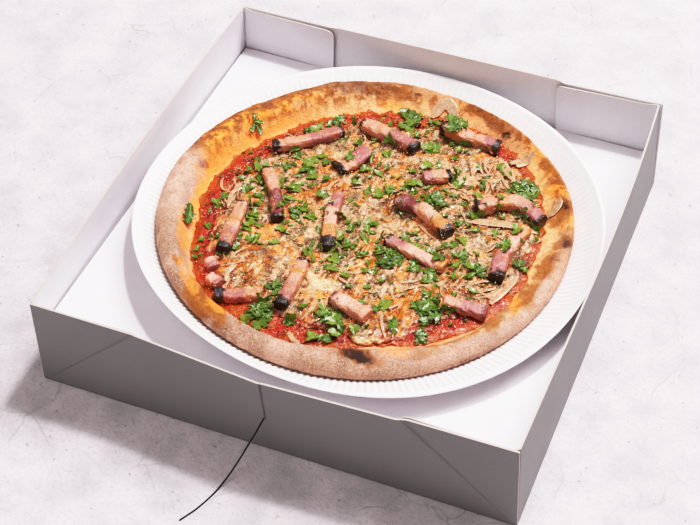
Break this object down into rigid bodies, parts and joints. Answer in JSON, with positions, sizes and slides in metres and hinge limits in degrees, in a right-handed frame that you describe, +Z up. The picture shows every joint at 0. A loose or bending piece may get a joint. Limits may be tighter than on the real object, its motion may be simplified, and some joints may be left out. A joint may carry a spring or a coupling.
{
  "type": "pizza in its box",
  "caption": "Round thin pizza with bacon, onion and chopped parsley on a fluted paper plate, standing in an open folded board tray with a pull cord.",
  "frame": {"origin": "on the surface the tray stands on, below the middle of its outer box", "axes": "+Z up, +X to the right along the front wall, +Y from the front wall with the slit and cord to the back"},
  "size_m": [0.3192, 0.3824, 0.072],
  "materials": {
    "board": null,
    "plate_paper": null,
    "crust": "baked wheat dough, floury and matte with browned and charred spots",
    "sauce": "tomato sauce, wet and glossy",
    "cheese": "melted cheese with fine grated cheese, satin and oily in places",
    "bacon": "smoked bacon, satin, charred at its ends",
    "onion": "soft cooked onion, translucent and glossy",
    "parsley": "fresh chopped parsley leaf, satin",
    "cord": "thin black twisted cord"
  },
  "bodies": {
    "root": {"tray": "board", "raised_floor": "board", "plate": "plate_paper", "crust": "crust", "tomato_sauce": "sauce", "melted_cheese": "cheese", "pull_cord": "cord", "bacon_01": "bacon", "bacon_02": "bacon", "bacon_03": "bacon", "bacon_04": "bacon", "bacon_05": "bacon", "bacon_06": "bacon", "bacon_07": "bacon", "bacon_08": "bacon", "bacon_09": "bacon", "bacon_10": "bacon", "bacon_11": "bacon", "bacon_12": "bacon", "bacon_13": "bacon", "bacon_14": "bacon", "bacon_15": "bacon", "bacon_16": "bacon", "bacon_17": "bacon", "bacon_18": "bacon", "onion_strip_1": "onion", "onion_strip_2": "onion", "onion_strip_3": "onion", "onion_strip_4": "onion", "onion_strip_5": "onion", "onion_strip_6": "onion", "onion_strip_7": "onion", "onion_strip_8": "onion", "onion_strip_9": "onion", "parsley_leaf_01": "parsley", "parsley_leaf_02": "parsley", "parsley_leaf_03": "parsley", "parsley_leaf_04": "parsley", "parsley_leaf_05": "parsley", "parsley_leaf_06": "parsley", "parsley_leaf_07": "parsley", "parsley_leaf_08": "parsley", "parsley_leaf_09": "parsley", "parsley_leaf_10": "parsley", "parsley_leaf_11": "parsley", "parsley_leaf_12": "parsley", "parsley_leaf_13": "parsley", "parsley_leaf_14": "parsley", "parsley_leaf_15": "parsley", "parsley_leaf_16": "parsley", "parsley_leaf_17": "parsley", "parsley_leaf_18": "parsley"}
  },
  "joints": []
}
